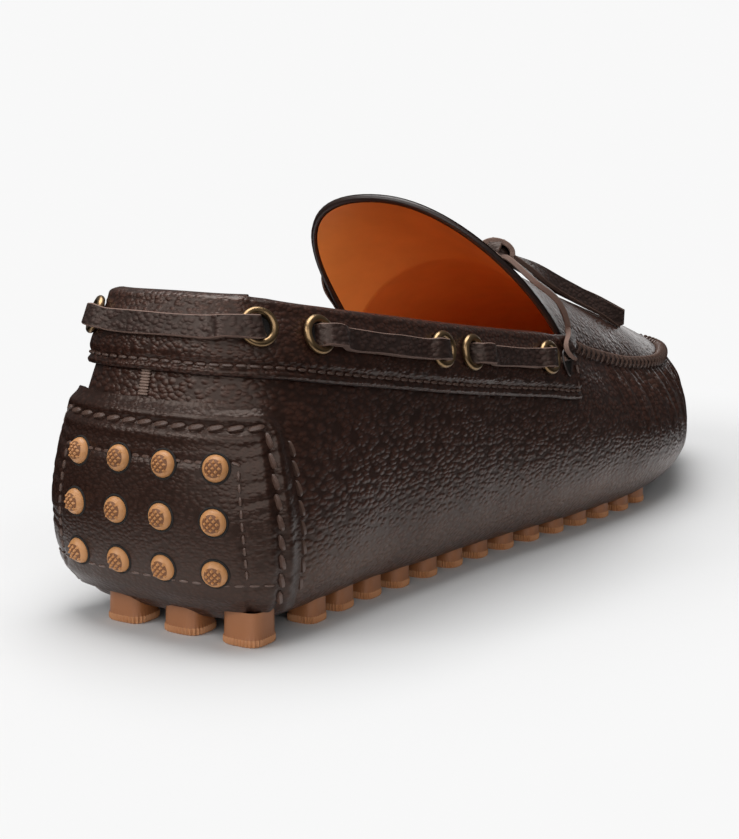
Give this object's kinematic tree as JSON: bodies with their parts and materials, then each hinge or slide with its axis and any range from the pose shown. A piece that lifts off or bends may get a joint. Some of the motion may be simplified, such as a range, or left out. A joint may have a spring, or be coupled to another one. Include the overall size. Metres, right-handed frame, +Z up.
{
  "type": "driving moccasin",
  "caption": "Right-foot driving moccasin with a pegged rubber sole, studded heel patch, high tongue and a flat leather lace threaded round the collar.",
  "frame": {"origin": "middle of the shoe's footprint rectangle, on the floor plane the pegs stand on", "axes": "+Y from heel to toe, +X to the outer (right-hand) side of this right shoe, +Z up"},
  "size_m": [0.0954, 0.2894, 0.0919],
  "materials": {
    "leather": "dark brown pebble-grained leather, semi-gloss",
    "lining": "smooth caramel lining leather",
    "rubber": "matt caramel rubber",
    "brass": "antique brass, slightly dulled",
    "lace": "flat dark brown leather strip with raw edges"
  },
  "bodies": {
    "root": {"collar_band": "leather", "eyelet_inner_1": "brass", "eyelet_inner_2": "brass", "eyelet_inner_3": "brass", "eyelet_inner_4": "brass", "eyelet_inner_5": "brass", "eyelet_outer_1": "brass", "eyelet_outer_2": "brass", "eyelet_outer_3": "brass", "eyelet_outer_4": "brass", "eyelet_outer_5": "brass", "heel_patch": "leather", "heel_studs": "rubber", "insole": "lining", "lace_end_far": "lace", "lace_end_near": "lace", "lace_heel_run": "lace", "lace_inner_run_1": "lace", "lace_inner_run_2": "lace", "lace_inner_tie": "lace", "lace_knot": "lace", "lace_outer_run_1": "lace", "lace_outer_run_2": "lace", "lace_outer_tie": "lace", "outsole_forepart": "rubber", "outsole_heel": "rubber", "tongue_apron": "leather", "upper": "leather"}
  },
  "joints": []
}
